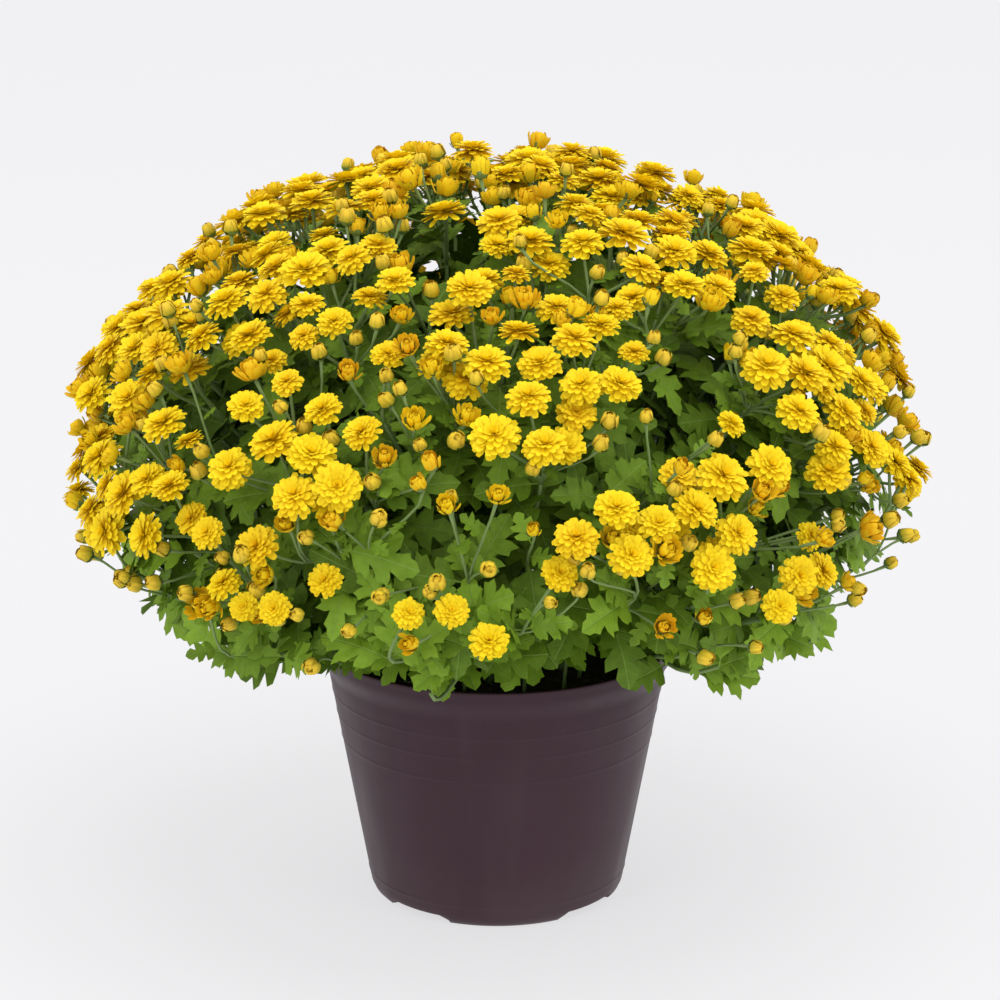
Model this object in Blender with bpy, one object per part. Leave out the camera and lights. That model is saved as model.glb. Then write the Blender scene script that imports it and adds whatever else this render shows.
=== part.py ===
"""A garden chrysanthemum in bloom, in the plastic nursery pot that it was grown in.

The plant is a bush of leafy stems that rise from holes in the soil and fan out under a domed canopy.
Each leafy stem is one green solid: its stem, the dense middle of its foliage, its lobed leaves, the stalks
of its blooms and its green buds. The blooms at its end crowd together petal over petal, and are one yellow
solid that rests on those stalks. Metres, +Z up, with the origin under the middle of the pot's base.
"""

import math
import random

import bmesh
import bpy
from mathutils import Matrix, Vector
from mathutils.bvhtree import BVHTree

UP = Vector((0, 0, 1))

# The pot
POT_HEIGHT = 0.170
RIM_RADIUS = 0.115
BAND_HEIGHT = 0.037
WALL_TOP_RADIUS = 0.1065
WALL_FOOT_RADIUS = 0.0815
FOOT_HEIGHT = 0.009
BASE_RADIUS = 0.075
WALL = 0.0018
POT_SIDES = 26
FOOT_GAPS = 4
FOOT_GAP_RISE = 0.006
FOOT_ARCH = 0.98 * FOOT_GAP_RISE
FOOT_GAP_HALF_ANGLE = math.radians(17)
FOOT_GAP_START = math.radians(-131)
DRAIN_RADIUS = 0.007
DRAIN_SIDES = 8
DRAIN_REACH = 0.02

# The soil
SOIL_TOP = 0.156
SOIL_BUMP = 0.0022
SOIL_SIDES = POT_SIDES // 2

# The canopy, an ellipsoid that the middles of the blooms lie on
CROWN = Vector((0.0, 0.0, 0.150))
CANOPY_RADIUS = 0.268
CANOPY_HEIGHT = 0.187
CANOPY_MIDDLE = 0.290

# The leafy stems, each of which fills its own sector of the bush
STEM_COUNT = 26
LOWEST_STEM = math.radians(74)
GOLDEN_ANGLE = math.pi * (3 - math.sqrt(5))
STEM_RADIUS = 0.0028
STEM_SIDES = 4
STEM_DEPTH = 0.014
STEM_UPRIGHT = 0.006
STEM_TAPER = 0.8
STALK_TAPER = 1.6
CROWN_SPREAD = 0.055
UPPER_WHORL, LOWER_WHORL = 0.84, 0.60
UPPER_TIPS, LOWER_TIPS = 5, 5
WHORL_NARROWEST, WHORL_WIDEST = 0.012, 0.062
LOWER_WIDEST = 0.050
WHORL_STEP, WHORL_ROOM = 0.002, 0.005
WHORL_NOTCH = 0.55
WHORL_DROOP, WHORL_LIFT = 0.010, 0.006
LOWER_TURN = 0.4
RIM_CLEAR = 0.030
WHORL_THICKNESS = 0.008
SECTOR_GAP = 0.0004
SEAT_GAP = 0.0003

# The blooms
BLOOM_RADIUS = 0.0182
LOW_BLOOM_RADIUS = 0.0150
LOW_HEIGHT = 0.268
LOW_FALL = 0.014
BLOOM_REACH = 0.90
BLOOM_PAST_WHORL = 0.018
BLOOM_PETALS = 5
BLOOM_NOTCH = 0.70
BLOOM_TOP, BLOOM_BOTTOM = 0.38, 0.42
SMALLEST, LARGEST = 0.86, 1.06
TURN = 0.15
DRAW_IN, LEVEL = 0.96, 0.35
DRAWS = 8
JOINED_SCALE = 0.93
STALK_EVERY = 5
TOUCH = 0.76
BLOOM_SEED = 40
TILT_ABOVE, TILT_BELOW = 0.12, 0.35
CROWDED, SPARSE = math.radians(48), math.radians(61)
BLOOM_UNEVEN = 0.003
NOTCH_LIFT = 0.08
STALK_RADIUS = 0.0014

# The buds
BUD_RADIUS = 0.0045
BUD_SIDES = 5
BUD_CLEAR = 0.001
BUD_SPREAD = 0.0152
BUD_LOWEST, BUD_HIGHEST = -0.004, 0.006
BUD_TRIES = 60

# The leaves: the outline is distance along the midrib and half width, as shares of the length
LEAF_LENGTH = 0.046
LEAF_THICKNESS = 0.0012
LEAF_OUTLINE = ((0.26, 0.34), (0.43, 0.19), (0.66, 0.37), (0.74, 0.16))
LEAF_MIDDLE = 0.48
LEAF_FOLD = 0.10
LEAF_TRIES = 400
LEAF_LEAN = 0.4, 1.1
LEAF_SIZES = 0.85, 1.2
LOW_LEAF = 1.15
DROOP_BELOW, DROOP_ABOVE = (0.1, 0.55), (0.05, 0.25)
LEAF_APART = 0.016
LEAF_RIM_GAP = 0.004

RNG = random.Random(11)


def clear_scene():
    for obj in list(bpy.data.objects):
        bpy.data.objects.remove(obj)


def material(name, color, roughness):
    made = bpy.data.materials.new(name)
    made.use_nodes = True
    shader = made.node_tree.nodes["Principled BSDF"]
    shader.inputs["Base Color"].default_value = (*color, 1)
    shader.inputs["Roughness"].default_value = roughness
    return made


def mesh_object(name, points, faces, finish=None):
    """A closed mesh with its faces turned outwards."""
    mesh = bpy.data.meshes.new(name)
    mesh.from_pydata([tuple(p) for p in points], [], faces)
    shape = bmesh.new()
    shape.from_mesh(mesh)
    bmesh.ops.recalc_face_normals(shape, faces=shape.faces)
    shape.to_mesh(mesh)
    shape.free()
    obj = bpy.data.objects.new(name, mesh)
    bpy.context.scene.collection.objects.link(obj)
    if finish:
        mesh.materials.append(finish)
    return obj


def boolean(target, pieces, operation, solver):
    """Joins or cuts target with all the pieces at once, applies it, and removes the pieces."""
    group = bpy.data.collections.new("pieces")
    bpy.context.scene.collection.children.link(group)
    for piece in pieces:
        group.objects.link(piece)
    modifier = target.modifiers.new("fuse", "BOOLEAN")
    modifier.operand_type = "COLLECTION"
    modifier.collection = group
    modifier.operation = operation
    modifier.solver = solver
    bpy.context.view_layer.objects.active = target
    bpy.ops.object.modifier_apply(modifier=modifier.name)
    for piece in pieces:
        bpy.data.objects.remove(piece)
    bpy.data.collections.remove(group)


def ring(radius, height, sides, turn=0.0):
    """Points of a level circle about the pot's axis."""
    angles = (turn + math.tau * i / sides for i in range(sides))
    return [Vector((radius * math.cos(a), radius * math.sin(a), height)) for a in angles]


def skin(rings):
    """Faces of a tube through rings of equal length, closed by a face at each end."""
    sides = len(rings[0])
    faces = []
    for row in range(len(rings) - 1):
        for i in range(sides):
            j = (i + 1) % sides
            low = row * sides
            faces.append((low + i, low + j, low + sides + j, low + sides + i))
    last = (len(rings) - 1) * sides
    faces.append(tuple(range(sides))[::-1])
    faces.append(tuple(range(last, last + sides)))
    return faces


def turned(name, profile, sides, finish):
    """A solid turned about the pot's axis, from (radius, height) pairs that start and end off the axis."""
    rings = [ring(radius, height, sides) for radius, height in profile]
    return mesh_object(name, sum(rings, []), skin(rings), finish)


def pot_outer():
    """The pot's outer profile, from its foot to the top of its rim."""
    band_foot = POT_HEIGHT - BAND_HEIGHT
    return [
        (BASE_RADIUS, 0.0),
        (WALL_FOOT_RADIUS - 0.003, 0.002),
        (WALL_FOOT_RADIUS, FOOT_HEIGHT),
        (WALL_TOP_RADIUS, band_foot - 0.001),
        (WALL_TOP_RADIUS + 0.0012, band_foot),
        (RIM_RADIUS - 0.0008, POT_HEIGHT - 0.019),
        (RIM_RADIUS, POT_HEIGHT - 0.0012),
        (RIM_RADIUS - 0.0008, POT_HEIGHT),
    ]


def wall_inner(height):
    """The radius of the pot's inner wall at a height above its floor."""
    band_foot = POT_HEIGHT - BAND_HEIGHT
    if height > band_foot:
        share = (height - band_foot) / (0.019 + 0.001)
        return WALL_TOP_RADIUS - WALL + min(1.0, share) * (RIM_RADIUS - WALL_TOP_RADIUS - 0.0008)
    share = (height - FOOT_HEIGHT) / (band_foot - FOOT_HEIGHT)
    return WALL_FOOT_RADIUS - WALL + share * (WALL_TOP_RADIUS - WALL_FOOT_RADIUS)


def make_pot(finish):
    """A thin moulded shell: a tapered wall, a flared rim band, and a foot that is cut away for drainage."""
    floor = FOOT_GAP_RISE + 0.0024
    band_foot = POT_HEIGHT - BAND_HEIGHT
    inside = [
        (RIM_RADIUS - WALL, POT_HEIGHT),
        (wall_inner(POT_HEIGHT - 0.018), POT_HEIGHT - 0.018),
        (wall_inner(band_foot), band_foot),
        (wall_inner(FOOT_HEIGHT), floor + 0.003),
        (WALL_FOOT_RADIUS - 0.008, floor),
    ]
    under = (BASE_RADIUS - 0.004, 0.0), (BASE_RADIUS - 0.006, FOOT_GAP_RISE)
    profile = list(under[::-1]) + pot_outer() + inside
    pot = turned("pot", profile, POT_SIDES, finish)
    cutters = []
    for i in range(FOOT_GAPS):
        middle = FOOT_GAP_START + math.tau * i / FOOT_GAPS
        cutters.append(foot_gap(middle))
        spot = Vector((math.cos(middle), math.sin(middle), 0)) * (BASE_RADIUS - 0.019)
        hole = [[p + spot for p in ring(DRAIN_RADIUS, z, DRAIN_SIDES)] for z in (-DRAIN_REACH, DRAIN_REACH)]
        cutters.append(mesh_object("drain", sum(hole, []), skin(hole)))
    boolean(pot, cutters, "DIFFERENCE", "MANIFOLD")
    return pot


def foot_gap(middle):
    """The shallow arch that lifts the foot between two of its feet."""
    arch = [(-1.0, -0.001), (-0.75, FOOT_ARCH), (0.0, FOOT_ARCH), (0.75, FOOT_ARCH), (1.0, -0.001)]
    arch += [(1.0, -0.004), (-1.0, -0.004)]
    rings = []
    for radius in (BASE_RADIUS - 0.010, WALL_FOOT_RADIUS + 0.010):
        angles = [(middle + share * FOOT_GAP_HALF_ANGLE, height) for share, height in arch]
        rings.append([Vector((radius * math.cos(a), radius * math.sin(a), height)) for a, height in angles])
    return mesh_object("foot_gap", sum(rings, []), skin(rings))


def soil_height(x, y):
    """Crumbly ground: low waves, a little lower by the rim."""
    waves = math.sin(93 * x + 1.3) * math.cos(71 * y - 0.4) + 0.6 * math.sin(141 * y + 57 * x)
    return SOIL_TOP + SOIL_BUMP * waves


def make_soil(sectors, finish):
    """The root ball of peat, with a plain hole for each stem."""
    bottom = FOOT_GAP_RISE + 0.0024 + SEAT_GAP
    radii = (0.028, 0.056, 0.083, wall_inner(SOIL_TOP - 0.004) - 3 * SEAT_GAP)
    band_foot = POT_HEIGHT - BAND_HEIGHT
    points = [Vector((0, 0, soil_height(0, 0)))]
    for row, radius in enumerate(radii):
        for p in ring(radius, 0, SOIL_SIDES, (row + 1) * math.pi / SOIL_SIDES):
            drop = 0.003 if row == len(radii) - 1 else 0.0
            points.append(Vector((p.x, p.y, soil_height(p.x, p.y) - drop)))
    turn = len(radii) * math.pi / SOIL_SIDES
    sides = (
        (wall_inner(band_foot) - 3 * SEAT_GAP, band_foot),
        (wall_inner(FOOT_HEIGHT) - 3 * SEAT_GAP, FOOT_HEIGHT + 0.008),
        (WALL_FOOT_RADIUS - 0.0095, bottom),
    )
    for radius, height in sides:
        points += ring(radius, height, SOIL_SIDES, turn)
    faces = [(0, 1 + i, 1 + (i + 1) % SOIL_SIDES) for i in range(SOIL_SIDES)]
    for row in range(len(radii) - 1):
        low = 1 + row * SOIL_SIDES
        for i in range(SOIL_SIDES):
            j = (i + 1) % SOIL_SIDES
            faces.append((low + i, low + SOIL_SIDES + i, low + j))
            faces.append((low + j, low + SOIL_SIDES + i, low + SOIL_SIDES + j))
    for row in range(len(radii) - 1, len(radii) + len(sides) - 1):
        low = 1 + row * SOIL_SIDES
        for i in range(SOIL_SIDES):
            j = (i + 1) % SOIL_SIDES
            faces.append((low + i, low + SOIL_SIDES + i, low + SOIL_SIDES + j, low + j))
    last = 1 + (len(radii) + len(sides) - 1) * SOIL_SIDES
    faces.append(tuple(range(last, last + SOIL_SIDES)))
    soil = mesh_object("soil", points, faces, finish)
    holes = []
    radius = STEM_RADIUS + SEAT_GAP * math.sqrt(2)
    for sector in sectors:
        low = sector.foot + UP * (SOIL_TOP - STEM_DEPTH - SEAT_GAP)
        high = sector.foot + UP * (SOIL_TOP + 0.02)
        rings = [around(end, UP, radius, STEM_SIDES, sector.across) for end in (low, high)]
        holes.append(mesh_object("hole", sum(rings, []), skin(rings)))
    boolean(soil, holes, "DIFFERENCE", "MANIFOLD")
    return soil


def around(middle, direction, radius, sides, side):
    """A ring of points about a line, the first of them to one side."""
    axis = direction.normalized()
    across = (side - side.dot(axis) * axis).normalized()
    other = axis.cross(across)
    angles = (math.tau * i / sides for i in range(sides))
    return [middle + radius * (math.cos(a) * across + math.sin(a) * other) for a in angles]


def canopy_reach(direction):
    """How far the canopy lies from the crown of the plant, in a direction."""
    polar = math.acos(max(-1.0, min(1.0, direction.normalized().z)))
    rise = CANOPY_MIDDLE - CROWN.z
    a = (math.sin(polar) / CANOPY_RADIUS) ** 2 + (math.cos(polar) / CANOPY_HEIGHT) ** 2
    b = -2 * rise * math.cos(polar) / CANOPY_HEIGHT**2
    c = (rise / CANOPY_HEIGHT) ** 2 - 1
    return (math.sqrt(b * b - 4 * a * c) - b) / (2 * a)


def canopy_normal(point):
    """The outward direction of the canopy at a point on it."""
    x, y, z = point.x, point.y, point.z - CANOPY_MIDDLE
    return Vector((x / CANOPY_RADIUS**2, y / CANOPY_RADIUS**2, z / CANOPY_HEIGHT**2)).normalized()


class Sector:
    """The share of the bush that one leafy stem fills: the directions from the crown nearest to its own."""

    def __init__(self, index, directions):
        self.index = index
        self.axis = directions[index]
        self.walls = [(self.axis - d).normalized() for k, d in enumerate(directions) if k != index]
        self.polar = math.acos(self.axis.z)
        self.reach = canopy_reach(self.axis)
        side = Vector((0, 0, 1)) if self.polar > 0.1 else Vector((1, 0, 0))
        self.across = self.axis.cross(side).normalized()
        self.along = self.axis.cross(self.across).normalized()
        outward = Vector((self.axis.x, self.axis.y, 0)).normalized()
        self.foot = outward * CROWN_SPREAD * self.polar / LOWEST_STEM

    def room(self, point):
        """How far a point lies inside the sector's nearest wall."""
        return min((point - CROWN).dot(wall) for wall in self.walls)

    def at(self, share, sideways=Vector((0, 0, 0))):
        """The point at a share of the way from the crown to the canopy, moved sideways."""
        return CROWN + self.axis * self.reach * share + sideways

    def sideways(self, distance, angle):
        return distance * (math.cos(angle) * self.across + math.sin(angle) * self.along)


def sector_directions():
    """Directions spread evenly over the bush by the golden angle."""
    span = 1 - math.cos(LOWEST_STEM)
    directions = []
    for i in range(STEM_COUNT):
        height = 1 - span * (i + 0.5) / STEM_COUNT
        width = math.sqrt(1 - height * height)
        angle = i * GOLDEN_ANGLE + 0.6
        directions.append(Vector((width * math.cos(angle), width * math.sin(angle), height)))
    return directions


def bloom_count(polar):
    """Crowded on top, sparse on the lower side of the bush."""
    if polar < CROWDED:
        return 10
    return 8 if polar < SPARSE else 3


def bloom_places(sector):
    """(middle, axis, radius, turn) of each bloom: the first near the sector's axis, the rest round it."""
    random_draw = random.Random(BLOOM_SEED + sector.index)
    tilt = TILT_ABOVE if sector.polar < SPARSE else TILT_BELOW
    size = BLOOM_RADIUS if sector.polar < SPARSE else LOW_BLOOM_RADIUS
    places = [first_place(sector, size, tilt)]
    for near in places:
        for k in range(BLOOM_PETALS):
            if len(places) == bloom_count(sector.polar):
                return places
            radius = size * random_draw.uniform(SMALLEST, LARGEST)
            side = (near[3] - near[3].dot(near[1]) * near[1]).normalized()
            turn = math.tau * k / BLOOM_PETALS + random_draw.uniform(-TURN, TURN)
            side.rotate(Matrix.Rotation(turn, 3, near[1]))
            direction = (near[0] + side * BLOOM_REACH * (near[2] + radius) - CROWN).normalized()
            uneven = random_draw.uniform(-BLOOM_UNEVEN, BLOOM_UNEVEN)
            middle = CROWN + direction * (canopy_reach(direction) + uneven)
            place = joined_place((middle, facing(middle, tilt), radius, side), near)
            if place and fits(sector, place, places):
                places.append(place)
    return places


def first_place(sector, size, tilt):
    """The place of a stem's first bloom: on the stem's axis, or above it on a stem that leans far out."""
    raise_by = max(0.0, LOW_HEIGHT - sector.at(1.0).z)
    raised = (sector.axis * sector.reach - sector.along * raise_by).normalized()
    spot = CROWN + raised * canopy_reach(raised)
    return spot, facing(spot, tilt), size, sector.across


def facing(middle, tilt):
    """The way that a bloom faces: out from the canopy, tilted up to the light."""
    return (canopy_normal(middle) + UP * tilt).normalized()


def fits(sector, place, places):
    """Whether a bloom lies inside its sector's walls, out past its foliage, and clear of the others."""
    middle, _, radius, _ = place
    if (middle - CROWN).dot(sector.axis) < UPPER_WHORL * sector.reach + BLOOM_PAST_WHORL:
        return False
    if places and sector.polar > SPARSE and middle.z < places[0][0].z - LOW_FALL:
        return False
    if any((other[0] - middle).length < TOUCH * (other[2] + radius) for other in places):
        return False
    points, _ = bloom_shape(place)
    return min(sector.room(p) for p in points) > SECTOR_GAP


def joined_place(place, near):
    """The place of a bloom, drawn in and levelled until a petal of it sinks into its neighbour."""
    middle, axis, radius, _ = place
    for _ in range(DRAWS):
        offset = middle - near[0]
        drawn = (middle, axis, radius, -offset)
        if shape_tree(drawn).overlap(shape_tree(near)):
            return drawn
        middle = near[0] + offset * DRAW_IN - near[1] * offset.dot(near[1]) * LEVEL
    return None


def shape_tree(place):
    """A search tree over one bloom's faces."""
    points, faces = bloom_shape(place, JOINED_SCALE)
    return BVHTree.FromPolygons(points, faces)


def bloom_shape(place, scale=1.0):
    """Points and faces of one bloom: petals with notched ends round a raised middle, over a tapered cup."""
    middle, axis, radius, turn_to = place
    radius *= scale
    first = (turn_to - turn_to.dot(axis) * axis).normalized()
    second = axis.cross(first)
    points = []
    for i in range(2 * BLOOM_PETALS):
        angle = math.pi * i / BLOOM_PETALS
        reach = radius * (1.0 if i % 2 == 0 else BLOOM_NOTCH)
        lift = radius * (0.0 if i % 2 == 0 else NOTCH_LIFT)
        points.append(middle + reach * (math.cos(angle) * first + math.sin(angle) * second) + lift * axis)
    points.append(middle + BLOOM_TOP * radius * axis)
    points.append(middle - BLOOM_BOTTOM * radius * axis)
    count = 2 * BLOOM_PETALS
    faces = [(i, (i + 1) % count, count) for i in range(count)]
    faces += [((i + 1) % count, i, count + 1) for i in range(count)]
    return points, faces


def make_blooms(sector, places, finish):
    """The blooms at the end of one stem, joined where their petals overlap."""
    pieces = [mesh_object("bloom", *bloom_shape(place)) for place in places]
    cluster = pieces[0]
    boolean(cluster, pieces[1:], "UNION", "MANIFOLD")
    cluster.name = f"blooms_{sector.index + 1:02d}"
    cluster.data.materials.clear()
    cluster.data.materials.append(finish)
    return cluster


def tube(path, radii, sides, side):
    """A tapered tube through points, with flat ends. Each ring faces along the run below it."""
    rings = []
    for k, point in enumerate(path):
        ahead = point - path[k - 1] if k else path[1] - point
        rings.append(around(point, ahead, radii[k], sides, side))
    return mesh_object("tube", sum(rings, []), skin(rings))


def whorl_piece(sector, share, tips, widest, turn):
    """The dense middle of the foliage at one height of a stem: a whorl of short pointed leaves."""
    middle = sector.at(share)
    droop = UP * -WHORL_DROOP * math.sin(sector.polar)
    points = []
    for i in range(2 * tips):
        angle = turn + math.pi * i / tips
        distance = WHORL_NARROWEST
        while distance < widest and sector.room(middle + sector.sideways(distance, angle)) > WHORL_ROOM:
            distance += WHORL_STEP
        if i % 2:
            points.append(middle + sector.sideways(WHORL_NOTCH * distance, angle))
        else:
            points.append(middle + sector.sideways(distance, angle) + sector.axis * WHORL_LIFT + droop)
    points += [middle + sector.axis * WHORL_THICKNESS, middle - sector.axis * WHORL_THICKNESS]
    count = 2 * tips
    faces = [(i, (i + 1) % count, count) for i in range(count)]
    faces += [((i + 1) % count, i, count + 1) for i in range(count)]
    return mesh_object("whorl", points, faces)


def lower_whorl(sector):
    """Where the lower whorl sits along a stem, as a share of its reach: out past the rim."""
    return max(LOWER_WHORL, (RIM_RADIUS + RIM_CLEAR) / sector.reach)


def stem_piece(sector):
    """The stem, upright in its hole in the soil and then leaning out to the middle of its foliage."""
    low = sector.foot + UP * (SOIL_TOP - STEM_DEPTH)
    top = sector.foot + UP * (SOIL_TOP + STEM_UPRIGHT)
    path = [low, top, sector.at(lower_whorl(sector)), sector.at(UPPER_WHORL)]
    return tube(path, [STEM_RADIUS] * 3 + [STEM_RADIUS * STEM_TAPER], STEM_SIDES, sector.across)


def stalk_piece(sector, place):
    """The stalk of one bloom, from the foliage up to the bloom's cup."""
    middle, axis, radius, _ = place
    tip = middle - axis * (BLOOM_BOTTOM * radius + SEAT_GAP)
    root = sector.at(UPPER_WHORL)
    return tube([root, tip], [STALK_RADIUS, STALK_RADIUS * STALK_TAPER], 3, sector.across)


def leaf_mesh(root, direction, face, length, droop):
    """Points and faces of one lobed leaf: an arched blade, thickest in the middle."""
    along = direction.normalized()
    across = along.cross(face).normalized()
    up = across.cross(along)
    mirrored = [(share, -half) for share, half in LEAF_OUTLINE[::-1]]
    outline = [(0.0, 0.0), *LEAF_OUTLINE, (1.0, 0.0), *mirrored]
    points = []
    for share, half in outline:
        fall = droop * share * share + LEAF_FOLD * abs(half)
        points.append(root + length * (along * share + across * half - up * fall))
    middle = root + length * (along * LEAF_MIDDLE - up * droop * LEAF_MIDDLE**2)
    points += [middle + up * LEAF_THICKNESS, middle - up * LEAF_THICKNESS]
    count = len(outline)
    faces = [((i + 1) % count, i, count) for i in range(count)]
    faces += [(i, (i + 1) % count, count + 1) for i in range(count)]
    return points, faces


def leaf_count(polar):
    if polar < CROWDED:
        return 3
    return 4 if polar < SPARSE else 8


def leaf_pieces(sector, bloom_tree, pot_tree):
    """Leaves that stand out of the foliage, each clear of the sector's walls, the blooms and the pot."""
    made = []
    middles = []
    low = sector.polar > SPARSE
    for _ in range(LEAF_TRIES):
        if len(made) == leaf_count(sector.polar):
            break
        side = sector.sideways(1.0, RNG.uniform(0, math.tau))
        root = sector.at(RNG.uniform(lower_whorl(sector), UPPER_WHORL))
        outward = sector.axis * RNG.uniform(*LEAF_LEAN) + side
        face = sector.axis * 0.7 + UP - side * 0.6
        length = LEAF_LENGTH * RNG.uniform(*LEAF_SIZES) * (LOW_LEAF if low else 1.0)
        droop = RNG.uniform(*(DROOP_BELOW if low else DROOP_ABOVE))
        points, faces = leaf_mesh(root, outward, face, length, droop)
        middle = sum(points, Vector()) / len(points)
        crowded = any((middle - m).length < LEAF_APART for m in middles)
        if crowded or min(sector.room(p) for p in points) < SECTOR_GAP or fouls_rim(points):
            continue
        tree = BVHTree.FromPolygons(points, faces, epsilon=SECTOR_GAP)
        if tree.overlap(bloom_tree) or tree.overlap(pot_tree):
            continue
        middles.append(middle)
        made.append(mesh_object("leaf", points, faces))
    return made


def fouls_rim(points):
    """Whether a leaf that hangs below the rim comes too near the pot."""
    nearest = min(math.hypot(p.x, p.y) for p in points)
    return min(p.z for p in points) < POT_HEIGHT + LEAF_RIM_GAP and nearest < RIM_RADIUS + LEAF_RIM_GAP


def bud_pieces(sector, places, bloom_tree):
    """A round green bud on a thin stalk, in the first gap that is found among the blooms."""
    for k in range(BUD_TRIES):
        side = sector.sideways(BUD_SPREAD * math.sqrt(2 + k), k * GOLDEN_ANGLE)
        direction = (sector.axis * sector.reach + side).normalized()
        tip = CROWN + direction * (canopy_reach(direction) + RNG.uniform(BUD_LOWEST, BUD_HIGHEST))
        clear = all((place[0] - tip).length > place[2] + BUD_RADIUS + BUD_CLEAR for place in places)
        if not clear or sector.room(tip) < BUD_RADIUS + SECTOR_GAP:
            continue
        root = sector.at(UPPER_WHORL)
        along = (tip - root).normalized()
        points = around(tip, along, BUD_RADIUS, BUD_SIDES, sector.across)
        points += [tip + along * BUD_RADIUS, tip - along * BUD_RADIUS]
        faces = [(i, (i + 1) % BUD_SIDES, BUD_SIDES) for i in range(BUD_SIDES)]
        faces += [((i + 1) % BUD_SIDES, i, BUD_SIDES + 1) for i in range(BUD_SIDES)]
        stalk = tube([root, tip], [STALK_RADIUS, STALK_RADIUS], 3, sector.across)
        made = clear_of([stalk, mesh_object("bud", points, faces)], bloom_tree)
        if len(made) == 2:
            return made
        for piece in made:
            bpy.data.objects.remove(piece)
    return []


def clear_of(pieces, tree):
    """The pieces that don't touch what the tree holds; the rest are removed."""
    kept = []
    for piece in pieces:
        if tree_of(piece).overlap(tree):
            bpy.data.objects.remove(piece)
        else:
            kept.append(piece)
    return kept


def tree_of(obj):
    """A search tree over an object's faces."""
    points = [v.co for v in obj.data.vertices]
    return BVHTree.FromPolygons(points, [tuple(p.vertices) for p in obj.data.polygons])


def make_leafy_stem(sector, places, blooms, pot, finish):
    """One stem with its foliage, leaves, bloom stalks and buds, joined where they grow from each other."""
    core = whorl_piece(sector, UPPER_WHORL, UPPER_TIPS, WHORL_WIDEST, 0.0)
    pieces = [stem_piece(sector)]
    if sector.polar > CROWDED:
        pieces.append(whorl_piece(sector, lower_whorl(sector), LOWER_TIPS, LOWER_WIDEST, LOWER_TURN))
    bloom_tree = tree_of(blooms)
    pieces += clear_of([stalk_piece(sector, place) for place in places[::STALK_EVERY]], bloom_tree)
    pieces += leaf_pieces(sector, bloom_tree, tree_of(pot))
    pieces += bud_pieces(sector, places, bloom_tree)
    boolean(core, pieces, "UNION", "MANIFOLD")
    core.name = f"leafy_stem_{sector.index + 1:02d}"
    core.data.materials.clear()
    core.data.materials.append(finish)
    return core


def main():
    clear_scene()
    plastic = material("pot_plastic", (0.062, 0.036, 0.044), 0.5)
    peat = material("peat", (0.022, 0.014, 0.010), 0.95)
    foliage = material("foliage", (0.075, 0.165, 0.025), 0.55)
    petal = material("petals", (0.86, 0.55, 0.012), 0.6)
    directions = sector_directions()
    sectors = [Sector(i, directions) for i in range(STEM_COUNT)]
    pot = make_pot(plastic)
    make_soil(sectors, peat)
    for sector in sectors:
        places = bloom_places(sector)
        blooms = make_blooms(sector, places, petal)
        make_leafy_stem(sector, places, blooms, pot, foliage)


main()
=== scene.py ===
"""The looks of a garden chrysanthemum in bloom, in the dark plastic pot that it was grown in."""

import math
import random

import bpy
import numpy as np
from mathutils import Matrix, Vector
from mathutils.bvhtree import BVHTree


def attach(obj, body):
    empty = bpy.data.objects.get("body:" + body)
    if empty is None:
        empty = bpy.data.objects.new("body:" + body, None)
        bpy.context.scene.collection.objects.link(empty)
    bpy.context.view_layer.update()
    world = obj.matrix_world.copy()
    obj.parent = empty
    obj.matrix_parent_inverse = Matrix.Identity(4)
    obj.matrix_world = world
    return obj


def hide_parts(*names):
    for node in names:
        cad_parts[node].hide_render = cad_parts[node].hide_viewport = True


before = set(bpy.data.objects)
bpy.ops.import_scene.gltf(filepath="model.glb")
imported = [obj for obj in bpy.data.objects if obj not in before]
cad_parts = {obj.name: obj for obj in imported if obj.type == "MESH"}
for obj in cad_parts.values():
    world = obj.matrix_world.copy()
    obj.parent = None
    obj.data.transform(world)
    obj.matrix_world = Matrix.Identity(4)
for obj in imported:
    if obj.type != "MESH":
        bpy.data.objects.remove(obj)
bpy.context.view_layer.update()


# The pot
# A round nursery pot of thin dark plastic, moulded in one piece: a flared band under a rounded rim, a tapered
# wall with thin raised lines round it, and a foot that is cut away in four places so that water can drain.

POT_HEIGHT = 0.170
RIM_RADIUS = 0.115
BAND_FOOT = 0.146
BAND_RISE = 0.019
BAND_ROWS = 12
WALL = 0.0018
WALL_TOP_RADIUS = 0.1065
WALL_FOOT_RADIUS = 0.0815
WALL_ROWS = 22
BASE_RADIUS = 0.075
FLOOR_TOP = 0.0096
FOOT_GAPS = 4
FOOT_GAP_RISE = 0.006
FOOT_GAP_HALF_ANGLE = math.radians(17)
FOOT_GAP_START = math.radians(-131)
FOOT_GAP_SLOPE = math.radians(5)
FOOT_TOP = 0.010
POT_SIDES = 144
WALL_LINES = (0.0145, 0.1050, 0.1215, 0.1360)
LINE_WIDTH = 0.0007
LINE_RISE = 0.0003
DRAIN_RADIUS = 0.007
DRAIN_SPOT = BASE_RADIUS - 0.019


class Wire:
    """One output of a node. Python's operators on it add Math nodes."""

    def __init__(self, finish, socket):
        self.finish = finish
        self.socket = socket

    def maths(self, operation, *values):
        return self.finish.node("ShaderNodeMath", {"operation": operation}, dict(enumerate(values)))

    def __add__(self, other):
        return self.maths("ADD", self, other)

    def __radd__(self, other):
        return self.maths("ADD", other, self)

    def __sub__(self, other):
        return self.maths("SUBTRACT", self, other)

    def __rsub__(self, other):
        return self.maths("SUBTRACT", other, self)

    def __mul__(self, other):
        return self.maths("MULTIPLY", self, other)


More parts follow.
